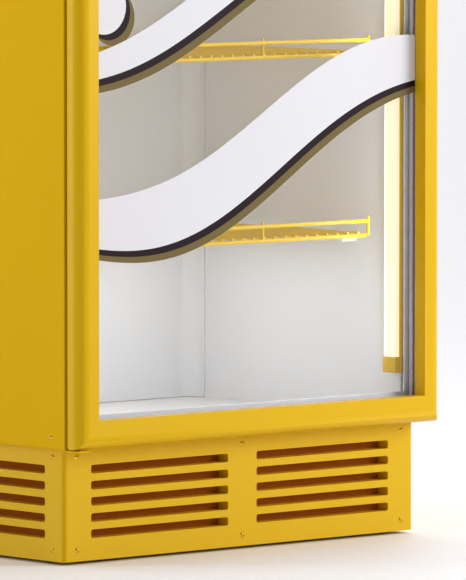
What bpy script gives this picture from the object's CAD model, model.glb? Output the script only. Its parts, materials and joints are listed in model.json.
"""Looks for a single-door glass-front display cooler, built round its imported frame."""

import json
import math

import bmesh
import bpy
from bpy.props import FloatProperty, FloatVectorProperty, IntProperty, PointerProperty
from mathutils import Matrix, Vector


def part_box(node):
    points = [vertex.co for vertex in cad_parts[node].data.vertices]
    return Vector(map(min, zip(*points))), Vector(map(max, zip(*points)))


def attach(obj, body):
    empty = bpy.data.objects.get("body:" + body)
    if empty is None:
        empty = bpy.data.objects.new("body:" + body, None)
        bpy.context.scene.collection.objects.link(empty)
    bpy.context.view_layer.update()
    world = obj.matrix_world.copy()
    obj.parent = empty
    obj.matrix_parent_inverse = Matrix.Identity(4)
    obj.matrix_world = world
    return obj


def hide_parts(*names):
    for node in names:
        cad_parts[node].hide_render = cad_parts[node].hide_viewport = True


bl_info = {
    "name": "Display cooler",
    "version": (1, 0, 0),
    "blender": (4, 5, 0),
    "location": "View3D > Sidebar > Cooler",
    "description": "Builds the visible pieces of a glass-door display cooler on its frame",
    "category": "Object",
}

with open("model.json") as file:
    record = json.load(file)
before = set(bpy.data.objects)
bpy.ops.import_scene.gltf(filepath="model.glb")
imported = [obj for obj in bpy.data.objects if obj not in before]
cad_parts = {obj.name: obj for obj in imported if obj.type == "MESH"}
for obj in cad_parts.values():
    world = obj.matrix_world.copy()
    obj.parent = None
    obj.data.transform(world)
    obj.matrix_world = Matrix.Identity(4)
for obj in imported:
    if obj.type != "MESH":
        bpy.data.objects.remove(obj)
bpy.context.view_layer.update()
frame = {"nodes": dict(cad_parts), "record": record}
MM = 0.001
WELD = 0.00001
FLAT_ANGLE = math.radians(0.6)
SCREW_RADIUS = 3.4 * MM
SCREW_DOME = 1.9 * MM
ROOM_WHITE = (0.94, 0.97, 1.0)


def linear(red, green, blue):
    """A colour given as 0-255 display values, as linear light."""
    return tuple(((c / 255 + 0.055) / 1.055) ** 2.4 if c > 10 else c / 255 / 12.92
                 for c in (red, green, blue))


def colour_property(name, description, default):
    return FloatVectorProperty(name=name, description=description, default=default, subtype="COLOR",
                               size=3, min=0, max=1)


class CoolerFinish(bpy.types.PropertyGroup):
    """Colours of the cooler's own finishes."""
    paint: colour_property("Paint", "Powder coat on the case and the frame", (0.70, 0.415, 0.001))
    wire: colour_property("Wire", "Coating on the shelves' wires", (0.86, 0.56, 0.01))
    trim: colour_property("Trim", "Coloured plastic of the lamp's housing", (0.85, 0.51, 0.003))
    liner: colour_property("Liner", "White plastic of the room", linear(236, 236, 238))
    print_fill: colour_property("Print fill", "Face of the window's print", linear(221, 220, 224))
    print_edge: colour_property("Print edge", "Dark edge of the window's print", linear(30, 15, 20))
    print_back: colour_property("Print back", "Second edge of the window's print",
                                linear(112, 96, 56))


class CoolerSizes(bpy.types.PropertyGroup):
    """Sizes that the CAD frame leaves to the looks."""
    edge_round: FloatProperty(name="Edge", description="Rounding of folded and moulded edges",
                              default=0.7 * MM, unit="LENGTH")
    deck_wires: IntProperty(name="Deck wires", description="Wires across one shelf", default=27)
    deck_radius: FloatProperty(name="Deck wire", description="Radius of a shelf's thin wires",
                               default=1.7 * MM, unit="LENGTH")
    frame_radius: FloatProperty(name="Frame wire", description="Radius of a shelf's thick wires",
                                default=2.5 * MM, unit="LENGTH")
    print_shift: FloatProperty(name="Print shift", description="Step between the print's layers",
                               default=7 * MM, unit="LENGTH")
    print_film: FloatProperty(name="Print film", description="Thickness of one printed layer",
                              default=0.12 * MM, unit="LENGTH")


class CoolerLight(bpy.types.PropertyGroup):
    """Strength of the cooler's own light and of the studio."""
    lamp_glow: FloatProperty(name="Lamp glow", description="Glow of the diffuser", default=0.6)
    sign_glow: FloatProperty(name="Sign glow", description="Glow of the header's panel",
                             default=0.5)
    room_power: FloatProperty(name="Room light", description="Light in the room", default=1.0,
                              unit="POWER")
    sky: FloatProperty(name="Sky", description="Even studio light", default=0.87)
    sky_slope: FloatProperty(name="Sky slope",
                             description="Fall of the light towards the front left", default=0.85)
    horizon: FloatProperty(name="Horizon", description="Pale tone at the floor's end", default=0.93)
    key_power: FloatProperty(name="Key light", description="Soft box at the front right",
                             default=59, unit="POWER")
    side_power: FloatProperty(name="Side light", description="Strip light at the left",
                              default=32, unit="POWER")
    fill_power: FloatProperty(name="Room fill", description="Soft light under the room's roof",
                              default=1.3, unit="POWER")


# ---------------------------------------------------------------- materials

MATERIALS = {}


class Surface:
    """A node material that reads Object coordinates and ends in one Principled shader."""

    def __init__(self, name, colour, roughness, metallic=0.0):
        self.material = bpy.data.materials.new(name)
        self.material.use_nodes = True
        self.nodes = self.material.node_tree.nodes
        self.links = self.material.node_tree.links
        self.shader = self.nodes["Principled BSDF"]
        self.set("Base Color", (*colour, 1))
        self.set("Roughness", roughness)
        self.set("Metallic", metallic)
        self.colour = colour
        self.roughness = roughness
        self.coordinates = self.nodes.new("ShaderNodeTexCoord").outputs["Object"]
        self.height = None
        MATERIALS[name] = self.material

    def set(self, socket, amount):
        self.shader.inputs[socket].default_value = amount

    def mapped(self, stretch=(1, 1, 1)):
        mapping = self.nodes.new("ShaderNodeMapping")
        mapping.inputs["Scale"].default_value = stretch
        self.links.new(self.coordinates, mapping.inputs["Vector"])
        return mapping.outputs["Vector"]

    def noise(self, scale, detail=3.0, stretch=(1, 1, 1)):
        made = self.nodes.new("ShaderNodeTexNoise")
        made.inputs["Scale"].default_value = scale
        made.inputs["Detail"].default_value = detail
        self.links.new(self.mapped(stretch), made.inputs["Vector"])
        return made.outputs["Fac"]

    def cells(self, scale, stretch=(1, 1, 1)):
        made = self.nodes.new("ShaderNodeTexVoronoi")
        made.inputs["Scale"].default_value = scale
        self.links.new(self.mapped(stretch), made.inputs["Vector"])
        return made.outputs["Color"]

    def axes(self):
        split = self.nodes.new("ShaderNodeSeparateXYZ")
        self.links.new(self.coordinates, split.inputs["Vector"])
        return split.outputs

    def calculate(self, operation, *amounts):
        """Do a sum on sockets and plain numbers."""
        made = self.nodes.new("ShaderNodeMath")
        made.operation = operation
        for socket, amount in zip(made.inputs, amounts):
            if isinstance(amount, float):
                socket.default_value = amount
            else:
                self.links.new(amount, socket)
        return made.outputs["Value"]

    def spread(self, factor, low=0.0, high=1.0, start=0.0, end=1.0):
        """Map a factor that runs from start to end onto low to high."""
        made = self.nodes.new("ShaderNodeMapRange")
        made.inputs["From Min"].default_value = start
        made.inputs["From Max"].default_value = end
        made.inputs["To Min"].default_value = low
        made.inputs["To Max"].default_value = high
        self.links.new(factor, made.inputs["Value"])
        return made.outputs["Result"]

    def vary_colour(self, factor, amount):
        """Run between a darker colour and the colour, by a factor from 0 to 1."""
        ramp = self.nodes.new("ShaderNodeValToRGB")
        darker = tuple(c * (1 - amount) for c in self.colour)
        ramp.color_ramp.elements[0].color = (*darker, 1)
        ramp.color_ramp.elements[1].color = (*self.colour, 1)
        ramp.color_ramp.elements[0].position = 0.3
        ramp.color_ramp.elements[1].position = 0.7
        self.links.new(factor, ramp.inputs["Fac"])
        self.links.new(ramp.outputs["Color"], self.shader.inputs["Base Color"])

    def vary_roughness(self, factor, amount):
        rough = self.spread(factor, self.roughness - amount, self.roughness + amount)
        self.links.new(rough, self.shader.inputs["Roughness"])

    def bump(self, factor, depth):
        """Raise the surface by a factor, over a depth in metres."""
        made = self.nodes.new("ShaderNodeBump")
        made.inputs["Distance"].default_value = depth
        made.inputs["Strength"].default_value = 1.0
        self.links.new(factor, made.inputs["Height"])
        if self.height is not None:
            self.links.new(self.height, made.inputs["Normal"])
        self.height = made.outputs["Normal"]
        self.links.new(self.height, self.shader.inputs["Normal"])


def coated(name, colour, roughness, peel=0.00004, gloss=0.22, tint=(1, 1, 1)):
    """Powder coat or gloss plastic with a fine orange peel."""
    made = Surface(name, colour, roughness)
    made.set("Specular IOR Level", gloss)
    made.set("Specular Tint", (*tint, 1))
    made.vary_colour(made.noise(2.5), 0.035)
    made.vary_roughness(made.noise(14, 4), 0.05)
    made.bump(made.noise(900, 2), peel)
    return made


def moulded(name, colour, roughness, grain=0.00003):
    """Moulded plastic or rubber with a fine even grain."""
    made = Surface(name, colour, roughness)
    made.vary_colour(made.noise(6), 0.05)
    made.vary_roughness(made.noise(30), 0.06)
    made.bump(made.cells(1400), grain)
    return made


def brushed(name, colour, roughness, stretch):
    """Drawn or brushed metal, with lines along the axis that is stretched least."""
    made = Surface(name, colour, roughness, metallic=1.0)
    lines = made.noise(60, 5, stretch)
    made.vary_colour(lines, 0.12)
    made.vary_roughness(lines, 0.08)
    made.bump(lines, 0.00002)
    return made


def glowing(name, colour, glow, mottle):
    """Milky plastic lit from behind."""
    made = Surface(name, colour, 0.35)
    made.set("Emission Color", (*colour, 1))
    made.links.new(made.spread(made.noise(mottle), glow * 0.94, glow * 1.04),
                   made.shader.inputs["Emission Strength"])
    made.vary_colour(made.noise(5), 0.02)
    return made


def clear_pane(name, colour, cover):
    """Thin clear glass that lets the light through."""
    made = Surface(name, colour, 0.03)
    made.set("Alpha", cover)
    made.set("Specular IOR Level", 0.6)
    made.vary_roughness(made.noise(3), 0.02)
    return made


def dust_screen(name, colour):
    """Fine woven screen: darker holes between threads 1.4 mm apart."""
    made = Surface(name, colour, 0.7)
    made.set("Specular IOR Level", 0.1)
    axes = made.axes()
    half_mesh = 0.7 * MM
    threads = [made.calculate("PINGPONG", source, half_mesh)
               for source in (made.calculate("ADD", axes["X"], axes["Y"]), axes["Z"])]
    share = made.spread(made.calculate("MAXIMUM", *threads), end=half_mesh)
    made.vary_colour(share, 0.45)
    made.bump(share, 0.2 * MM)
    return made


def sign_panel(name, paint, glow):
    """Milky header panel with plain slanted bands of the paint's colour at its two ends."""
    milky = linear(246, 246, 243)
    lean = 0.35
    made = glowing(name, milky, glow, 4)
    axes = made.axes()
    bands = made.nodes.new("ShaderNodeValToRGB")
    bands.color_ramp.interpolation = "CONSTANT"
    white = (*milky, 1)
    tint = (*paint, 1)
    stops = [(0.0, tint), (0.14, white), (0.17, tint), (0.2, white), (0.8, tint), (0.83, white),
             (0.86, tint)]
    elements = bands.color_ramp.elements
    elements.remove(elements[1])
    elements[0].color = stops[0][1]
    for place, colour in stops[1:]:
        elements.new(place).color = colour
    low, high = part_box("header_panel")
    middle = lean * (low.z + high.z) / 2
    slant = made.calculate("MULTIPLY_ADD", axes["Z"], lean, axes["X"])
    span = made.spread(slant, start=low.x + middle, end=high.x + middle)
    made.links.new(span, bands.inputs["Fac"])
    made.links.new(bands.outputs["Color"], made.shader.inputs["Base Color"])
    made.links.new(bands.outputs["Color"], made.shader.inputs["Emission Color"])
    return made


def make_materials(finish, light):
    paint = tuple(finish.paint)
    golden = (1.0, 0.96, 0.36)
    coated("yellow_paint", paint, 0.46, gloss=0.05, tint=golden)
    coated("yellow_frame", paint, 0.3, gloss=0.3, tint=golden)
    coated("yellow_moulding", paint, 0.5, gloss=0.4, tint=golden)
    coated("yellow_wire", tuple(finish.wire), 0.33, peel=0.00001)
    coated("yellow_trim", tuple(finish.trim), 0.4)
    coated("white_liner", tuple(finish.liner), 0.38, peel=0.00001)
    dust_screen("dust_screen", (0.4, 0.1, 0.001))
    coated("white_sheet", tuple(finish.liner), 0.45)
    moulded("foam", linear(226, 208, 150), 0.9, grain=0.0006)
    clear_pane("pane", (0.86, 0.92, 0.92), 0.012)
    moulded("spacer", linear(190, 180, 190), 0.5)
    moulded("black_rubber", linear(28, 27, 28), 0.7)
    moulded("grey_rubber", linear(150, 150, 152), 0.6)
    galvanised = Surface("galvanised", linear(186, 190, 194), 0.42, metallic=0.9)
    galvanised.vary_colour(galvanised.cells(110, (1, 1, 0.6)), 0.12)
    galvanised.vary_roughness(galvanised.noise(90), 0.1)
    brushed("plain_steel", linear(190, 190, 194), 0.32, (1, 0.05, 1))
    coated("black_paint", linear(30, 30, 32), 0.4)
    moulded("black_plastic", linear(34, 34, 36), 0.55)
    brushed("coil_fins", linear(200, 203, 207), 0.4, (1, 1, 0.04))
    copper = brushed("copper", linear(196, 122, 84), 0.35, (1, 1, 0.1))
    copper.vary_roughness(copper.noise(20), 0.12)
    glowing("lamp_lens", linear(255, 244, 206), light.lamp_glow, 3)
    glowing("light_strip", linear(255, 247, 224), light.lamp_glow, 8)
    sign_panel("sign_lens", paint, light.sign_glow)
    moulded("white_plastic", linear(247, 248, 250), 0.5)
    moulded("seal_rubber", linear(134, 120, 132), 0.6)
    moulded("bush_plastic", linear(150, 105, 15), 0.5)
    coated("print_fill", tuple(finish.print_fill), 0.5, peel=0.00001, gloss=0.1)
    coated("print_edge", tuple(finish.print_edge), 0.5, peel=0.00001, gloss=0.1)
    coated("print_back", tuple(finish.print_back), 0.5, peel=0.00001, gloss=0.1)
    screw = brushed("screw_paint", (0.9, 0.6, 0.06), 0.24, (1, 1, 1))
    screw.vary_roughness(screw.noise(300), 0.05)


# ---------------------------------------------------------------- meshes

NODE_SLOT = {entry["node"]: entry["material_slot"] for entry in frame["record"]["subparts"]}
NODE_BODY = {node: body for body, nodes in frame["record"]["behaviour"]["bodies"].items()
             for node in nodes}


def dress(piece, material):
    """Give every face of a mesh one material."""
    mesh = piece.data
    mesh.materials.clear()
    mesh.materials.append(MATERIALS[material])
    mesh.polygons.foreach_set("material_index", [0] * len(mesh.polygons))


def new_piece(name, mesh, material):
    made = bpy.data.objects.new(name, mesh)
    bpy.context.scene.collection.objects.link(made)
    dress(made, material)
    return made


def settle(piece, body, slot, *nodes):
    """Hand a finished piece over to its body, its material slot and the nodes it stands for."""
    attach(piece, body)
    if nodes:
        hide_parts(*nodes)
    return piece


def smooth(piece, angle=35):
    """Shade a piece smooth, but sharp across edges steeper than the angle."""
    mesh = piece.data
    for face in mesh.polygons:
        face.use_smooth = True
    mesh.set_sharp_from_angle(angle=math.radians(angle))


def bevelled(piece, width, segments=2, angle=40):
    """Round a piece's edges steeper than the angle, and apply the rounding to its mesh."""
    bevel = piece.modifiers.new("edges", "BEVEL")
    bevel.width = width
    bevel.segments = segments
    bevel.limit_method = "ANGLE"
    bevel.angle_limit = math.radians(angle)
    apply_modifiers(piece)


def flatten(piece):
    """Keep large faces flat beside their rounded edges."""
    weighted = piece.modifiers.new("flat", "WEIGHTED_NORMAL")
    weighted.keep_sharp = True
    apply_modifiers(piece)


def apply_modifiers(piece):
    """Turn a piece with its modifiers into a plain mesh."""
    graph = bpy.context.evaluated_depsgraph_get()
    mesh = bpy.data.meshes.new_from_object(piece.evaluated_get(graph))
    piece.modifiers.clear()
    old = piece.data
    piece.data = mesh
    bpy.data.meshes.remove(old)


def refined(node, width, name=None, segments=2):
    """A copy of a CAD node with clean faces and rounded, smoothly shaded edges."""
    work = bmesh.new()
    work.from_mesh(frame["nodes"][node].data)
    bmesh.ops.remove_doubles(work, verts=work.verts, dist=WELD)
    bmesh.ops.dissolve_limit(work, angle_limit=FLAT_ANGLE, verts=work.verts, edges=work.edges)
    mesh = bpy.data.meshes.new(name or node + "_skin")
    work.to_mesh(mesh)
    work.free()
    piece = new_piece(name or node + "_skin", mesh, NODE_SLOT[node])
    if width > 0:
        bevelled(piece, width, segments)
    smooth(piece)
    flatten(piece)
    return settle(piece, NODE_BODY[node], NODE_SLOT[node], node)


def mesh_from(name, points, faces):
    mesh = bpy.data.meshes.new(name)
    mesh.from_pydata([tuple(p) for p in points], [], faces)
    mesh.update()
    return mesh


def add_tube(points, faces, path, radius, sides=12, closed=False, domed=True):
    """Add a round bar along a path to lists of points and faces, with domed ends."""
    count = len(path)
    rings = []
    for index, place in enumerate(path):
        before = path[(index - 1) % count] if closed or index else place
        after = path[(index + 1) % count] if closed or index < count - 1 else place
        rings.append((place, (after - before).normalized(), radius))
    if domed and not closed:
        first, second = rings[0], rings[-1]
        caps = [(0.38, 0.92), (0.75, 0.66), (0.97, 0.25)]
        start = [(first[0] - first[1] * radius * out, first[1], radius * size)
                 for out, size in reversed(caps)]
        finish = [(second[0] + second[1] * radius * out, second[1], radius * size)
                  for out, size in caps]
        rings = start + rings + finish
    base = len(points)
    guide = Vector((0, 0, 1)) if abs(rings[0][1].z) < 0.9 else Vector((0, 1, 0))
    for place, along, size in rings:
        side = along.cross(guide).normalized()
        guide = side.cross(along).normalized()
        for step in range(sides):
            turn = 2 * math.pi * step / sides
            points.append(place + (side * math.cos(turn) + guide * math.sin(turn)) * size)
    total = len(rings)
    for ring in range(total if closed else total - 1):
        near = base + ring * sides
        far = base + ((ring + 1) % total) * sides
        for step in range(sides):
            following = (step + 1) % sides
            faces.append((near + step, near + following, far + following, far + step))
    if not closed:
        faces.append(tuple(base + sides - 1 - step for step in range(sides)))
        faces.append(tuple(base + (total - 1) * sides + step for step in range(sides)))


def area_light(name, size, power, place, aim=None, colour=(1, 1, 1)):
    """An unseen soft rectangular light that looks along the aim, or down without one."""
    light = bpy.data.lights.new(name, "AREA")
    light.shape = "RECTANGLE"
    light.size, light.size_y = size
    light.energy = power
    light.color = colour
    made = bpy.data.objects.new(name, light)
    bpy.context.scene.collection.objects.link(made)
    made.location = place
    if aim is not None:
        made.rotation_euler = aim.to_track_quat("-Z", "Y").to_euler()
    made.visible_camera = False


def outward(piece):
    """Point every face outwards."""
    work = bmesh.new()
    work.from_mesh(piece.data)
    bmesh.ops.recalc_face_normals(work, faces=work.faces)
    work.to_mesh(piece.data)
    work.free()


# ---------------------------------------------------------------- geometry nodes

class Tree:
    """A Geometry Nodes tree with named inputs, ending in realized, painted geometry."""

    def __init__(self, name, inputs):
        self.group = bpy.data.node_groups.new(name, "GeometryNodeTree")
        sockets = self.group.interface
        sockets.new_socket("Geometry", in_out="INPUT", socket_type="NodeSocketGeometry")
        for label, kind in inputs:
            sockets.new_socket(label, in_out="INPUT", socket_type=kind)
        sockets.new_socket("Geometry", in_out="OUTPUT", socket_type="NodeSocketGeometry")
        self.start = self.add("NodeGroupInput")
        self.end = self.add("NodeGroupOutput")

    def add(self, kind, **settings):
        made = self.group.nodes.new(kind)
        for name, setting in settings.items():
            setattr(made, name, setting)
        return made

    def join(self, source, target):
        self.group.links.new(source, target)

    def close(self, geometry, material):
        realize = self.add("GeometryNodeRealizeInstances")
        paint = self.add("GeometryNodeSetMaterial")
        paint.inputs["Material"].default_value = MATERIALS[material]
        self.join(geometry, realize.inputs["Geometry"])
        self.join(realize.outputs["Geometry"], paint.inputs["Geometry"])
        self.join(paint.outputs["Geometry"], self.end.inputs["Geometry"])

    def run(self, name, mesh, material, **values):
        """Run the tree on a mesh and return the result as a plain piece."""
        piece = new_piece(name, mesh, material)
        modifier = piece.modifiers.new("nodes", "NODES")
        modifier.node_group = self.group
        for item in self.group.interface.items_tree:
            if item.in_out == "INPUT" and item.name in values:
                modifier[item.identifier] = values[item.name]
        apply_modifiers(piece)
        dress(piece, material)
        return piece


def wire_row_tree(material):
    """A row of straight round bars: one at each step along X, running along Y."""
    tree = Tree("wire row", [("Count", "NodeSocketInt"), ("Gap", "NodeSocketFloat"),
                             ("Length", "NodeSocketFloat"), ("Radius", "NodeSocketFloat"),
                             ("Start", "NodeSocketVector")])
    gap = tree.add("ShaderNodeCombineXYZ")
    tree.join(tree.start.outputs["Gap"], gap.inputs["X"])
    row = tree.add("GeometryNodeMeshLine")
    tree.join(tree.start.outputs["Count"], row.inputs["Count"])
    tree.join(tree.start.outputs["Start"], row.inputs["Start Location"])
    tree.join(gap.outputs["Vector"], row.inputs["Offset"])
    reach = tree.add("ShaderNodeCombineXYZ")
    tree.join(tree.start.outputs["Length"], reach.inputs["Y"])
    bar = tree.add("GeometryNodeCurvePrimitiveLine")
    tree.join(reach.outputs["Vector"], bar.inputs["End"])
    section = tree.add("GeometryNodeCurvePrimitiveCircle")
    section.inputs["Resolution"].default_value = 10
    tree.join(tree.start.outputs["Radius"], section.inputs["Radius"])
    tube = tree.add("GeometryNodeCurveToMesh")
    tube.inputs["Fill Caps"].default_value = True
    tree.join(bar.outputs["Curve"], tube.inputs["Curve"])
    tree.join(section.outputs["Curve"], tube.inputs["Profile Curve"])
    place = tree.add("GeometryNodeInstanceOnPoints")
    tree.join(row.outputs["Mesh"], place.inputs["Points"])
    tree.join(tube.outputs["Mesh"], place.inputs["Instance"])
    tree.close(place.outputs["Instances"], material)
    return tree


def screw_tree(head, material):
    """One screw head on every point, turned to face the way that the point's normal looks."""
    tree = Tree("screw heads", [("Size", "NodeSocketFloat")])
    info = tree.add("GeometryNodeObjectInfo")
    info.inputs["Object"].default_value = head
    facing = tree.add("GeometryNodeInputNamedAttribute", data_type="FLOAT_VECTOR")
    facing.inputs["Name"].default_value = "facing"
    turn = tree.add("FunctionNodeAlignRotationToVector", axis="Z")
    tree.join(facing.outputs["Attribute"], turn.inputs["Vector"])
    place = tree.add("GeometryNodeInstanceOnPoints")
    tree.join(tree.start.outputs["Geometry"], place.inputs["Points"])
    tree.join(info.outputs["Geometry"], place.inputs["Instance"])
    tree.join(turn.outputs["Rotation"], place.inputs["Rotation"])
    tree.join(tree.start.outputs["Size"], place.inputs["Scale"])
    tree.close(place.outputs["Instances"], material)
    return tree


# ---------------------------------------------------------------- pieces

class Piece:
    """What every building operator of the cooler shares."""
    bl_options = {"REGISTER", "UNDO"}

    def execute(self, context):
        self.build(context.scene)
        return {"FINISHED"}


class CoolerMaterials(Piece, bpy.types.Operator):
    """Make the finishes and put one on every CAD node"""
    bl_idname = "cooler.materials"
    bl_label = "Materials"

    def build(self, scene):
        make_materials(scene.cooler_finish, scene.cooler_light)
        for node, made in frame["nodes"].items():
            dress(made, NODE_SLOT[node])
        dress(frame["nodes"]["glazing_seal"], "seal_rubber")


class CoolerCase(Piece, bpy.types.Operator):
    """Fold the case's sheets with soft edges"""
    bl_idname = "cooler.case"
    bl_label = "Case"

    def build(self, scene):
        edge = scene.cooler_sizes.edge_round
        for node in ("side_panel_left", "side_panel_right", "top_panel", "bottom_deck"):
            refined(node, edge * 0.6)
        for node in ("back_panel", "rear_guard", "base_frame", "header_back_panel"):
            refined(node, edge * 0.5)
        refined("header_box", edge)


class CoolerSkirt(Piece, bpy.types.Operator):
    """Round the lips of the skirt's louvres"""
    bl_idname = "cooler.skirt"
    bl_label = "Skirt"

    def build(self, scene):
        refined("plinth_grille", scene.cooler_sizes.edge_round * 2.2, segments=3)
        self.screens()

    def screens(self):
        """Hang a thin screen behind the front's louvres and each side's."""
        low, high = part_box("plinth_grille")
        behind_wall = 18.1 * MM
        thick = 0.3 * MM
        corner = 24 * MM
        bottom = low.z + 20 * MM
        top = high.z - 18 * MM
        front = low.y + behind_wall
        back = high.y - 60 * MM
        side = high.x - behind_wall
        panes = [((-side + corner, front, bottom), (side - corner, front + thick, top)),
                 ((-side, low.y + corner, bottom), (-side + thick, back, top)),
                 ((side - thick, low.y + corner, bottom), (side, back, top))]
        points = []
        faces = []
        for start, end in panes:
            self.add_sheet(points, faces, start, end)
        screens = new_piece("dust_screens", mesh_from("dust_screens", points, faces), "dust_screen")
        outward(screens)
        settle(screens, "cabinet", "black_plastic")

    def add_sheet(self, points, faces, start, end):
        """A thin upright sheet with folded-in long edges, between two corners."""
        base = len(points)
        for z in (start[2], end[2]):
            points += [Vector((start[0], start[1], z)), Vector((end[0], start[1], z)),
                       Vector((end[0], end[1], z)), Vector((start[0], end[1], z))]
        faces.append((base + 3, base + 2, base + 1, base))
        faces.append((base + 4, base + 5, base + 6, base + 7))
        for corner in range(4):
            following = (corner + 1) % 4
            faces.append((base + corner, base + following, base + 4 + following, base + 4 + corner))


class CoolerScrews(Piece, bpy.types.Operator):
    """Set a domed cross-head screw in every hole of the skirt and the side panels"""
    bl_idname = "cooler.screws"
    bl_label = "Screws"

    def build(self, scene):
        head = self.head_shape()
        tree = screw_tree(head, "screw_paint")
        for node in ("skirt_screws", "panel_screws"):
            mesh = self.points_of(node)
            piece = tree.run(node + "_heads", mesh, "screw_paint", Size=1.1)
            smooth(piece, 40)
            settle(piece, "cabinet", "yellow_paint", node)
        bpy.data.objects.remove(head)

    def head_shape(self):
        """A dome on Z = 0, with a cross pressed into it."""
        arm_half = 0.42 * MM
        arm_reach = 1.9 * MM
        cross_deep = 0.75 * MM
        rings = 9
        sides = 32
        points = [Vector((0, 0, SCREW_DOME - cross_deep))]
        faces = []
        for ring in range(1, rings + 1):
            share = ring / rings
            for step in range(sides):
                turn = 2 * math.pi * step / sides
                x = math.cos(turn) * SCREW_RADIUS * share
                y = math.sin(turn) * SCREW_RADIUS * share
                z = SCREW_DOME * (1 - share ** 2.2)
                if min(abs(x), abs(y)) < arm_half and max(abs(x), abs(y)) < arm_reach:
                    z -= cross_deep
                points.append(Vector((x, y, z)))
        for step in range(sides):
            following = (step + 1) % sides
            faces.append((0, 1 + step, 1 + following))
            for ring in range(rings - 1):
                near = 1 + ring * sides
                far = near + sides
                faces.append((near + step, far + step, far + following, near + following))
        last = 1 + (rings - 1) * sides
        faces.append(tuple(last + sides - 1 - step for step in range(sides)))
        return new_piece("screw_head", mesh_from("screw_head", points, faces), "screw_paint")

    def points_of(self, node):
        """One point under each of a node's separate screws, with the way that it faces."""
        work = bmesh.new()
        work.from_mesh(frame["nodes"][node].data)
        bmesh.ops.remove_doubles(work, verts=work.verts, dist=WELD)
        seen = set()
        places = []
        facings = []
        for vertex in work.verts:
            if vertex.index in seen:
                continue
            island = [vertex]
            seen.add(vertex.index)
            for member in island:
                for edge in member.link_edges:
                    other = edge.other_vert(member)
                    if other.index not in seen:
                        seen.add(other.index)
                        island.append(other)
            low = Vector(min(v.co[i] for v in island) for i in range(3))
            high = Vector(max(v.co[i] for v in island) for i in range(3))
            place = (low + high) / 2
            # a head is 6.8 mm across, so a screw with another width lies along X
            if 6.5 * MM <= high.x - low.x <= 12 * MM:
                place.y = low.y + SCREW_DOME
                facings.append(Vector((0, -1, 0)))
            else:
                side = math.copysign(1, place.x)
                place.x = (high.x if side > 0 else low.x) - side * SCREW_DOME
                facings.append(Vector((side, 0, 0)))
            places.append(place)
        work.free()
        mesh = mesh_from(node + "_points", places, [])
        facing = mesh.attributes.new("facing", "FLOAT_VECTOR", "POINT")
        for item, way in zip(facing.data, facings):
            item.vector = way
        return mesh


class CoolerRoom(Piece, bpy.types.Operator):
    """Finish the white room, its sill, rim and air duct"""
    bl_idname = "cooler.room"
    bl_label = "Room"

    def build(self, scene):
        edge = scene.cooler_sizes.edge_round
        refined("inner_liner", 0)
        for node in ("breaker_frame", "front_sill", "air_duct_cover", "thermostat_housing"):
            refined(node, edge)
        refined("shelf_clips", edge * 1.5)


class CoolerShelves(Piece, bpy.types.Operator):
    """Weld the wire shelves with their raised front guards"""
    bl_idname = "cooler.shelves"
    bl_label = "Shelves"

    def build(self, scene):
        sizes = scene.cooler_sizes
        tree = wire_row_tree("yellow_wire")
        for index in range(1, 6):
            node = f"shelf_{index}"
            low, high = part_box(node)
            thick = sizes.frame_radius
            gap = (high.x - low.x - 2 * thick) / (sizes.deck_wires + 1)
            start = Vector((low.x + thick + gap, low.y + thick * 0.6,
                            low.z + 2 * thick + sizes.deck_radius - 0.6 * MM))
            deck = tree.run(node + "_wires", mesh_from("seed", [start], []), "yellow_wire",
                            Count=sizes.deck_wires, Gap=gap, Length=high.y - low.y - thick * 1.2,
                            Radius=sizes.deck_radius, Start=start)
            frame_piece = self.frame_wires(node, low, high, sizes)
            join_into(deck, frame_piece)
            smooth(deck, 50)
            settle(deck, "cabinet", "yellow_wire", node)

    def frame_wires(self, node, low, high, sizes):
        points = []
        faces = []
        thick = sizes.frame_radius
        thinner = thick * 0.8
        middle = low.z + thick
        guard = low.z + 23 * MM - thick
        bend = 9 * MM
        inner_post = 68 * MM
        loop = rounded_loop(low.x + thick, high.x - thick, low.y + thick, high.y - thick, middle,
                            bend)
        add_tube(points, faces, loop, thick, closed=True)
        depth = high.y - low.y
        for share in (0.34, 0.67):
            y = low.y + depth * share
            add_tube(points, faces, [Vector((low.x + thick, y, middle)),
                                     Vector((high.x - thick, y, middle))], thinner)
        y = low.y + thick
        add_tube(points, faces, [Vector((low.x + thick, y, guard)),
                                 Vector((high.x - thick, y, guard))], thick)
        top = high.z - thinner
        for x in (low.x + thick, -inner_post, inner_post, high.x - thick):
            start = middle if abs(x) == inner_post else middle + bend * 0.1
            add_tube(points, faces, [Vector((x, y, start)), Vector((x, y, top))], thinner)
            weld = [Vector((x, y + thick * 0.5, middle + thick * 0.9)),
                    Vector((x, y + thick * 0.5, middle + thick * 1.5))]
            add_tube(points, faces, weld, thick * 0.95)
        made = new_piece(node + "_frame", mesh_from(node + "_frame", points, faces), "yellow_wire")
        outward(made)
        return made


def rounded_loop(left, right, front, back, height, bend):
    """A closed loop of points round a rectangle with quarter-round corners."""
    centres = [(right - bend, front + bend, -90), (right - bend, back - bend, 0),
               (left + bend, back - bend, 90), (left + bend, front + bend, 180)]
    path = []
    for x, y, start in centres:
        for step in range(7):
            turn = math.radians(start + 15 * step)
            path.append(Vector((x + bend * math.cos(turn), y + bend * math.sin(turn), height)))
    return path


def join_into(piece, *others):
    """Merge other meshes into a piece."""
    work = bmesh.new()
    work.from_mesh(piece.data)
    for other in others:
        work.from_mesh(other.data)
        bpy.data.objects.remove(other)
    work.to_mesh(piece.data)
    work.free()


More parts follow.
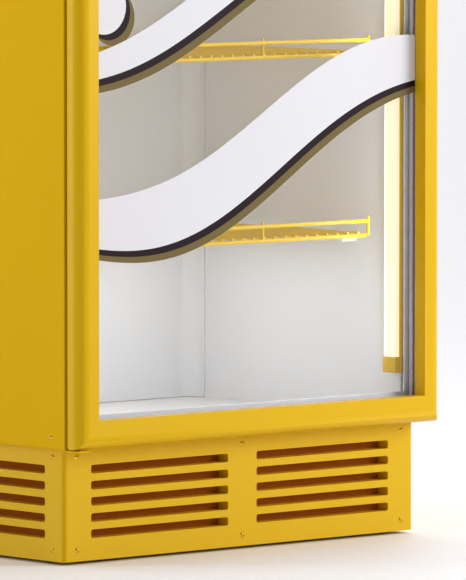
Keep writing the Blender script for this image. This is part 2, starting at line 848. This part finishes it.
class CoolerLamp(Piece, bpy.types.Operator):
    """Build the lit upright lamp in the front right corner"""
    bl_idname = "cooler.lamp"
    bl_label = "Lamp"

    def build(self, scene):
        edge = scene.cooler_sizes.edge_round
        refined("lamp_housing", edge)
        refined("lamp_end_caps", edge * 2, segments=3)
        refined("lamp_diffuser", edge * 0.6)
        low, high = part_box("lamp_diffuser")
        middle = (low + high) / 2
        area_light("room_light", (0.03, high.z - low.z), scene.cooler_light.room_power,
                   (low.x - 4 * MM, middle.y, middle.z), aim=Vector((-1, 0.75, 0)),
                   colour=ROOM_WHITE)
        power = scene.cooler_light.fill_power
        under_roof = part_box("inner_liner")[1].z - 60 * MM
        under_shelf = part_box("shelf_1")[0].z - 12 * MM
        fills = (("room_fill", under_roof, power), ("floor_fill", under_shelf, power * 0.38))
        for name, height, share in fills:
            area_light(name, (0.4, 0.28), share, (0, -0.03, height), colour=ROOM_WHITE)


class CoolerDoor(Piece, bpy.types.Operator):
    """Build the door: frame, handle, inner frame, gasket, spacer and seal"""
    bl_idname = "cooler.door"
    bl_label = "Door"

    def build(self, scene):
        edge = scene.cooler_sizes.edge_round
        refined("door_frame", edge * 1.4, segments=3)
        refined("door_inner_frame", edge)
        refined("glass_spacer", edge * 0.4)
        refined("door_handle", 0)
        refined("hinge_brackets", edge * 0.5)
        self.gasket(scene)

    def gasket(self, scene):
        """A bellows-shaped ring: two lips and a soft bulb, with mitred corners."""
        low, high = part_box("door_gasket")
        wide = 13 * MM
        deep = high.y - low.y
        section = [(0, 0), (0, 0.35), (0.08, 0.5), (0.02, 0.7), (0.1, 1), (0.45, 1), (0.5, 0.9),
                   (0.55, 1), (0.9, 1), (0.98, 0.7), (0.92, 0.5), (1, 0.35), (1, 0)]
        points = []
        faces = []
        count = len(section)
        for across, depth in section:
            inset = across * wide
            y = low.y + depth * deep
            for x, z in ((low.x + inset, low.z + inset), (high.x - inset, low.z + inset),
                         (high.x - inset, high.z - inset), (low.x + inset, high.z - inset)):
                points.append(Vector((x, y, z)))
        for index in range(count):
            near = index * 4
            far = ((index + 1) % count) * 4
            for corner in range(4):
                following = (corner + 1) % 4
                faces.append((near + corner, near + following, far + following, far + corner))
        mesh = mesh_from("gasket_bellows", points, faces)
        made = new_piece("gasket_bellows", mesh, "grey_rubber")
        outward(made)
        smooth(made, 30)
        settle(made, "door", "grey_rubber", "door_gasket")


class CoolerPrint(Piece, bpy.types.Operator):
    """Print a plain wave and bubbles on the door's glass"""
    bl_idname = "cooler.print"
    bl_label = "Window print"

    def build(self, scene):
        sizes = scene.cooler_sizes
        glass_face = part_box("glass_outer")[0].y
        self.right = self.half_window()
        self.left = -self.right
        layers = [("print_back", 2), ("print_edge", 1), ("print_fill", 0)]
        for level, (material, steps) in enumerate(layers, start=1):
            shift = sizes.print_shift * steps
            y = glass_face - sizes.print_film * level
            points = []
            faces = []
            for wave in self.waves():
                self.add_wave(points, faces, wave, shift, y, sizes.print_film)
            for bubble in self.bubbles():
                self.add_bubble(points, faces, bubble, shift, y, sizes.print_film)
            made = new_piece(material, mesh_from(material, points, faces), material)
            outward(made)
            settle(made, "door", "white_plastic")

    def half_window(self):
        """Half the width of the print, which ends just behind the frame's edge."""
        spacer_beyond_edge = 8.3 * MM
        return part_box("glass_spacer")[1].x - spacer_beyond_edge

    def waves(self):
        """Each wave: middle height, lean, rise, length, half width, phase."""
        return [(0.5, 0.28, 0.036, 0.66, 0.044, -0.3), (0.71, 0.3, 0.03, 0.66, 0.024, 0.5),
                (1.22, 0.28, 0.036, 0.66, 0.03, 0.4)]

    def bubbles(self):
        """Each bubble: across, height, radius."""
        return [(-0.244, 0.677, 0.034), (-0.13, 0.9, 0.055), (0.02, 0.98, 0.036),
                (0.11, 0.87, 0.024), (-0.02, 1.08, 0.022), (0.15, 1.04, 0.042),
                (-0.16, 1.06, 0.028), (0.06, 1.38, 0.05), (-0.09, 1.42, 0.03)]

    def add_wave(self, points, faces, wave, shift, y, film):
        middle, lean, rise, length, half, phase = wave
        steps = 72
        base = len(points)
        for step in range(steps + 1):
            share = step / steps
            x = self.left + (self.right - self.left) * share
            turn = 2 * math.pi * (x - shift) / length + phase
            z = middle + lean * (x - shift) + rise * math.sin(turn)
            width = half * (0.35 + 0.65 * math.sin(math.pi * (0.15 + 0.7 * share)))
            for side in (1, -1):
                for depth in (0, film):
                    points.append(Vector((x, y + depth, z + side * width - shift)))
        for step in range(steps):
            near = base + 4 * step
            far = near + 4
            faces.append((near, near + 2, far + 2, far))
            faces.append((near + 1, far + 1, far + 3, near + 3))
            faces.append((near, far, far + 1, near + 1))
            faces.append((near + 2, near + 3, far + 3, far + 2))
        for end in (base, base + 4 * steps):
            faces.append((end, end + 1, end + 3, end + 2))

    def add_bubble(self, points, faces, bubble, shift, y, film):
        across, height, radius = bubble
        sides = 48
        base = len(points)
        for depth in (0, film):
            for step in range(sides):
                turn = 2 * math.pi * step / sides
                points.append(Vector((across + shift + radius * math.cos(turn), y + depth,
                                      height - shift + radius * math.sin(turn))))
        faces.append(tuple(range(base, base + sides)))
        faces.append(tuple(range(base + 2 * sides - 1, base + sides - 1, -1)))
        for step in range(sides):
            following = (step + 1) % sides
            faces.append((base + step, base + sides + step, base + sides + following,
                          base + following))


class CoolerMachinery(Piece, bpy.types.Operator):
    """Finish the fans, compressor, trays and electrics"""
    bl_idname = "cooler.machinery"
    bl_label = "Machinery"

    def build(self, scene):
        edge = scene.cooler_sizes.edge_round
        for node in ("compressor", "condenser_fan_motor", "evaporator_fan_motor", "levelling_feet",
                     "thermostat_knob", "refrigerant_pipes"):
            refined(node, 0)
        for node in ("condenser_fan_blade", "evaporator_fan_blade", "condenser_fan_shroud",
                     "evaporation_tray", "power_inlet", "switch_housing", "switch_rocker",
                     "foot_nuts"):
            refined(node, edge * 0.4)
        refined("control_box", edge * 2)


class CoolerStage(Piece, bpy.types.Operator):
    """Set the floor, the soft studio light and the camera"""
    bl_idname = "cooler.stage"
    bl_label = "Stage"

    def build(self, scene):
        light = scene.cooler_light
        scene.view_settings.view_transform = "Standard"
        self.floor()
        self.sky(scene, light)
        self.box_light("key", (1.4, 1.4), light.key_power, place=(2.0, -2.5, 1.35),
                       target=(0, -0.25, 0.6))
        self.box_light("side", (0.4, 2.4), light.side_power, place=(-2.95, 2.05, 1.3),
                       target=(-0.3, -0.1, 0.6))
        self.camera(scene)

    def floor(self):
        made = Surface("floor_finish", linear(246, 246, 249), 0.6)
        made.vary_colour(made.noise(0.6), 0.004)
        half = 60
        corners = [(-half, -half, 0), (half, -half, 0), (half, half, 0), (-half, half, 0)]
        ground = new_piece("floor", mesh_from("floor", corners, [(0, 1, 2, 3)]), "floor_finish")

    def sky(self, scene, light):
        """Even light that falls off towards the front left, over a pale horizon."""
        world = bpy.data.worlds.new("studio")
        world.use_nodes = True
        nodes = world.node_tree.nodes
        links = world.node_tree.links
        background = nodes["Background"]
        background.inputs["Color"].default_value = (1.0, 0.996, 1.012, 1)
        way = nodes.new("ShaderNodeTexCoord").outputs["Generated"]
        along = nodes.new("ShaderNodeVectorMath")
        along.operation = "DOT_PRODUCT"
        along.inputs[1].default_value = (0.666, 0.746, 0)
        links.new(way, along.inputs[0])
        slope = nodes.new("ShaderNodeMapRange")
        slope.inputs["From Min"].default_value = -1
        slope.inputs["To Min"].default_value = light.sky - light.sky_slope
        slope.inputs["To Max"].default_value = light.sky + light.sky_slope
        links.new(along.outputs["Value"], slope.inputs["Value"])
        split = nodes.new("ShaderNodeSeparateXYZ")
        links.new(way, split.inputs["Vector"])
        rise = nodes.new("ShaderNodeMapRange")
        rise.inputs["From Min"].default_value = 0.07
        rise.inputs["From Max"].default_value = 0.2
        links.new(split.outputs["Z"], rise.inputs["Value"])
        blend = nodes.new("ShaderNodeMix")
        blend.inputs["A"].default_value = light.horizon
        links.new(rise.outputs["Result"], blend.inputs["Factor"])
        links.new(slope.outputs["Result"], blend.inputs["B"])
        links.new(blend.outputs["Result"], background.inputs["Strength"])
        scene.world = world

    def box_light(self, name, size, power, place, target):
        area_light(name, size, power, place, aim=Vector(target) - Vector(place))

    def camera(self, scene):
        """A long lens at half the cooler's height, in front of it and to its left."""
        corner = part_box("plinth_grille")[0]
        data = bpy.data.cameras.new("camera")
        data.sensor_width = 36
        data.lens = 427.8
        data.clip_end = 200
        made = bpy.data.objects.new("camera", data)
        scene.collection.objects.link(made)
        made.location = corner + Vector((-5.3753, -6.3260, 0.9191))
        aim = Vector((0.66625, 0.74601, -0.07084))
        made.rotation_euler = aim.to_track_quat("-Z", "Y").to_euler()
        scene.camera = made


class CoolerPanel(bpy.types.Panel):
    """Lists the cooler's colours, sizes, lights and building steps"""
    bl_idname = "VIEW3D_PT_cooler"
    bl_label = "Display cooler"
    bl_space_type = "VIEW_3D"
    bl_region_type = "UI"
    bl_category = "Cooler"

    def draw(self, context):
        layout = self.layout
        for settings in (context.scene.cooler_finish, context.scene.cooler_sizes,
                         context.scene.cooler_light):
            column = layout.column()
            for name in settings.bl_rna.properties.keys():
                if name not in ("rna_type", "name"):
                    column.prop(settings, name)
        for step in STEPS:
            layout.operator(step.bl_idname)


STEPS = (CoolerMaterials, CoolerCase, CoolerSkirt, CoolerScrews, CoolerRoom, CoolerShelves,
         CoolerLamp, CoolerDoor, CoolerPrint, CoolerMachinery, CoolerStage)
GROUPS = {"cooler_finish": CoolerFinish, "cooler_sizes": CoolerSizes, "cooler_light": CoolerLight}


def register():
    for group in GROUPS.values():
        bpy.utils.register_class(group)
    for step in STEPS:
        bpy.utils.register_class(step)
    bpy.utils.register_class(CoolerPanel)
    for name, group in GROUPS.items():
        setattr(bpy.types.Scene, name, PointerProperty(type=group))


def unregister():
    for name in GROUPS:
        delattr(bpy.types.Scene, name)
    bpy.utils.unregister_class(CoolerPanel)
    for step in reversed(STEPS):
        bpy.utils.unregister_class(step)
    for group in GROUPS.values():
        bpy.utils.unregister_class(group)


def main():
    register()
    for step in STEPS:
        area, name = step.bl_idname.split(".")
        getattr(getattr(bpy.ops, area), name)()


if __name__ == "__main__":
    main()
